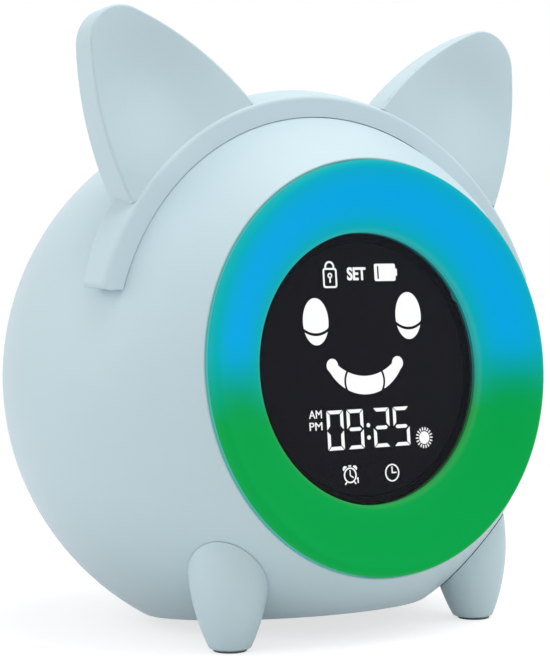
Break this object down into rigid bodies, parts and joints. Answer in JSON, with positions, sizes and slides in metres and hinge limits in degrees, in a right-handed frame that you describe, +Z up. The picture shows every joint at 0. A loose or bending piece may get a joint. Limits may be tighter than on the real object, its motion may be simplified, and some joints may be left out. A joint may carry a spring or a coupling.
{
  "type": "kids alarm clock with night light",
  "caption": "Ball-shaped bedside alarm clock on two feet with a lit ring round a dark display, a headband with ears and buttons, speaker and USB-C inlet at the back.",
  "frame": {"origin": "on the floor, under the middle of the overall bounding box", "axes": "+Z up, -Y towards the viewer of the display, +X to the right as the display is read"},
  "size_m": [0.12, 0.103, 0.1321],
  "materials": {
    "shell_plastic": "fine matte, pale blue",
    "ring_diffuser": "satin translucent diffuser, lit from behind",
    "smoked_window": "polished, smoked",
    "black_plastic": "matte",
    "white_plastic": "satin",
    "grey_plastic": "satin",
    "button_plastic": "satin",
    "board_green": "solder mask",
    "board_white": "white solder mask",
    "led_resin": "clear over phosphor",
    "rubber_grey": "matte",
    "foam": "closed-cell foam",
    "steel": "zinc plated",
    "cell_wrap": "shrink wrap",
    "cone_paper": "coated paper",
    "lead_jacket": "PVC",
    "ribbon": "flat flexible cable"
  },
  "bodies": {
    "clock": {"front_shell": "shell_plastic", "rear_cover": "shell_plastic", "foot_left": "shell_plastic", "foot_right": "shell_plastic", "light_ring": "ring_diffuser", "ring_reflector": "white_plastic", "led_ring_board": "board_white", "ring_leds": "led_resin", "display_window": "smoked_window", "display_frame": "black_plastic", "display_module": "black_plastic", "display_board": "board_green", "display_ribbon": "ribbon", "switch_bodies": "black_plastic", "main_board": "board_green", "board_parts": "black_plastic", "usb_socket": "steel", "speaker_frame": "grey_plastic", "speaker_cone": "cone_paper", "speaker_magnet": "steel", "speaker_gasket": "foam", "battery_cell": "cell_wrap", "battery_holder": "black_plastic", "battery_contacts": "steel", "battery_lead": "lead_jacket", "speaker_lead": "lead_jacket", "ring_lead": "lead_jacket", "holder_screws": "steel", "cover_screws": "steel", "ring_screws": "steel", "display_screws": "steel", "board_screws": "steel", "foot_screws": "steel", "foot_pads": "rubber_grey", "rear_pads": "rubber_grey"},
    "headband": {"ear_headband": "shell_plastic"},
    "button_light": {"button_light": "button_plastic", "plunger_light": "white_plastic"},
    "button_up": {"button_up": "button_plastic", "plunger_up": "white_plastic"},
    "button_alarm": {"button_alarm": "button_plastic", "plunger_alarm": "white_plastic"},
    "button_set": {"button_set": "button_plastic", "plunger_set": "white_plastic"},
    "button_down": {"button_down": "button_plastic", "plunger_down": "white_plastic"},
    "button_sound": {"button_sound": "button_plastic", "plunger_sound": "white_plastic"}
  },
  "joints": [
    {"name": "headband_lift", "type": "slide", "parent": "clock", "child": "headband", "axis": [0, 0.0819, 0.9966], "range_m": [0, 0.08]},
    {"name": "light_press", "type": "slide", "parent": "clock", "child": "button_light", "axis": [0, -0.9966, 0.0819], "range_m": [0, 0.0005], "stiffness_N_per_m": 800, "springref_m": -0.0002},
    {"name": "up_press", "type": "slide", "parent": "clock", "child": "button_up", "axis": [0, -0.9966, 0.0819], "range_m": [0, 0.0005], "stiffness_N_per_m": 800, "springref_m": -0.0002},
    {"name": "alarm_press", "type": "slide", "parent": "clock", "child": "button_alarm", "axis": [0, -0.9966, 0.0819], "range_m": [0, 0.0005], "stiffness_N_per_m": 800, "springref_m": -0.0002},
    {"name": "set_press", "type": "slide", "parent": "clock", "child": "button_set", "axis": [0, -0.9966, 0.0819], "range_m": [0, 0.0005], "stiffness_N_per_m": 800, "springref_m": -0.0002},
    {"name": "down_press", "type": "slide", "parent": "clock", "child": "button_down", "axis": [0, -0.9966, 0.0819], "range_m": [0, 0.0005], "stiffness_N_per_m": 800, "springref_m": -0.0002},
    {"name": "sound_press", "type": "slide", "parent": "clock", "child": "button_sound", "axis": [0, -0.9966, 0.0819], "range_m": [0, 0.0005], "stiffness_N_per_m": 800, "springref_m": -0.0002}
  ]
}
